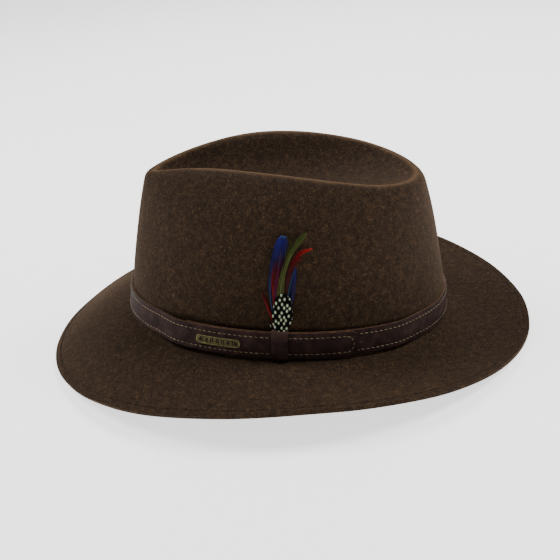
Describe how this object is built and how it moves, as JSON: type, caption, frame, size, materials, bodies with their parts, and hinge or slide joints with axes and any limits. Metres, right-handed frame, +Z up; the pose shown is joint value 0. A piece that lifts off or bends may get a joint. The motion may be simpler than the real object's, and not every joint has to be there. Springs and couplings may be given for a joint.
{
  "type": "fedora hat",
  "caption": "Felt fedora with a teardrop crown, stitched leather band with keeper loop and plate, feather mount and lined head side.",
  "frame": {"origin": "middle of the footprint on the table, under the brim", "axes": "+X is the wearer's left, +Y the back of the hat, +Z up; the hat rests on the front and back of its brim"},
  "size_m": [0.291, 0.3151, 0.1221],
  "materials": {
    "felt": "matt wool and fur felt, heathered brown",
    "edge_thread": "matt sewing thread",
    "band_leather": "smooth dark brown leather",
    "keeper_leather": "smooth dark brown leather",
    "band_thread": "khaki sewing thread",
    "sweat_leather": "soft tan leather",
    "reed_plastic": "clear drawn plastic reed",
    "reed_tape": "woven cotton tape",
    "bow_ribbon": "ribbed ribbon",
    "lining_satin": "woven satin",
    "plate_brass": "antiqued brass",
    "rivet_brass": "darkened brass",
    "guinea": "spotted feather",
    "blue_feather": "dyed feather",
    "red_feather": "dyed feather",
    "olive_feather": "dyed feather",
    "quill_thread": "waxed thread over quills"
  },
  "bodies": {
    "hat": {"felt_body": "felt", "brim_edge_thread": "edge_thread", "sweatband": "sweat_leather", "sweatband_reed": "reed_plastic", "reed_tape": "reed_tape", "sweatband_thread": "band_thread", "sweatband_bow": "bow_ribbon", "lining_side": "lining_satin", "lining_piping": "lining_satin", "lining_tip": "lining_satin", "hat_band": "band_leather", "band_thread_lower": "band_thread", "band_thread_upper": "band_thread", "strap_tip_thread": "band_thread", "name_plate": "plate_brass", "plate_rivets": "rivet_brass"},
    "keeper": {"keeper_loop": "keeper_leather"},
    "feather_mount": {"quill_binding": "quill_thread", "red_hackle_left": "red_feather", "blue_side_feather": "blue_feather", "blue_feather": "blue_feather", "red_hackle_lower": "red_feather", "red_hackle_upper": "red_feather", "olive_feather": "olive_feather", "guinea_feather": "guinea"}
  },
  "joints": [
    {"name": "keeper_slide", "type": "hinge", "parent": "hat", "child": "keeper", "pos_m": [-0.04101, 0.001, 0.02329], "axis": [0, 0.0929, 0.9957], "range_deg": [-5, 9.5]},
    {"name": "feather_pull", "type": "slide", "parent": "hat", "child": "feather_mount", "axis": [-0.1279, 0.0921, 0.9875], "range_m": [0, 0.03]}
  ]
}
